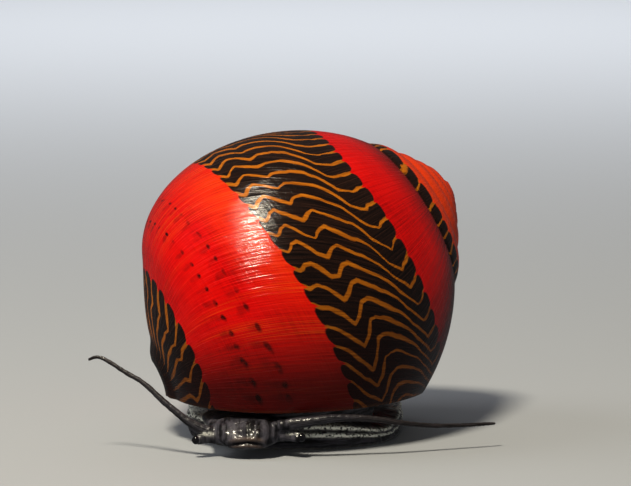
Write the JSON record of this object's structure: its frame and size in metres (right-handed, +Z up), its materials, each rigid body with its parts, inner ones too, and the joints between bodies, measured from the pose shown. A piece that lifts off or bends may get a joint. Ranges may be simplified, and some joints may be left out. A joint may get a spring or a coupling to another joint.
{
  "type": "nerite snail",
  "caption": "Life-size still model of a nerite snail: round red shell with black bands and orange zigzags, set on an oval foot with spread tentacles.",
  "frame": {"origin": "on the floor under the sole, with the snail resting at z = 0", "axes": "+X towards the spire, the right of the picture; the head faces -Y; +Z up"},
  "size_m": [0.0251, 0.0221, 0.0189],
  "materials": {
    "shell": "glossy red shell with black bands crossed by orange zigzag lines",
    "operculum": "satin limy plate",
    "flesh": "wet dark grey-brown skin with paler streaks",
    "eye": "wet black bead"
  },
  "bodies": {
    "root": {"shell": "shell", "operculum": "operculum", "neck": "flesh", "mantle_edge": "flesh", "foot_front": "flesh", "foot_middle": "flesh", "foot_rear": "flesh", "head": "flesh", "tentacle_left_root": "flesh", "tentacle_left_middle": "flesh", "tentacle_left_tip": "flesh", "tentacle_right_root": "flesh", "tentacle_right_middle": "flesh", "tentacle_right_tip": "flesh", "eyestalk_left": "flesh", "eyestalk_right": "flesh", "eye_left": "eye", "eye_right": "eye"}
  },
  "joints": []
}
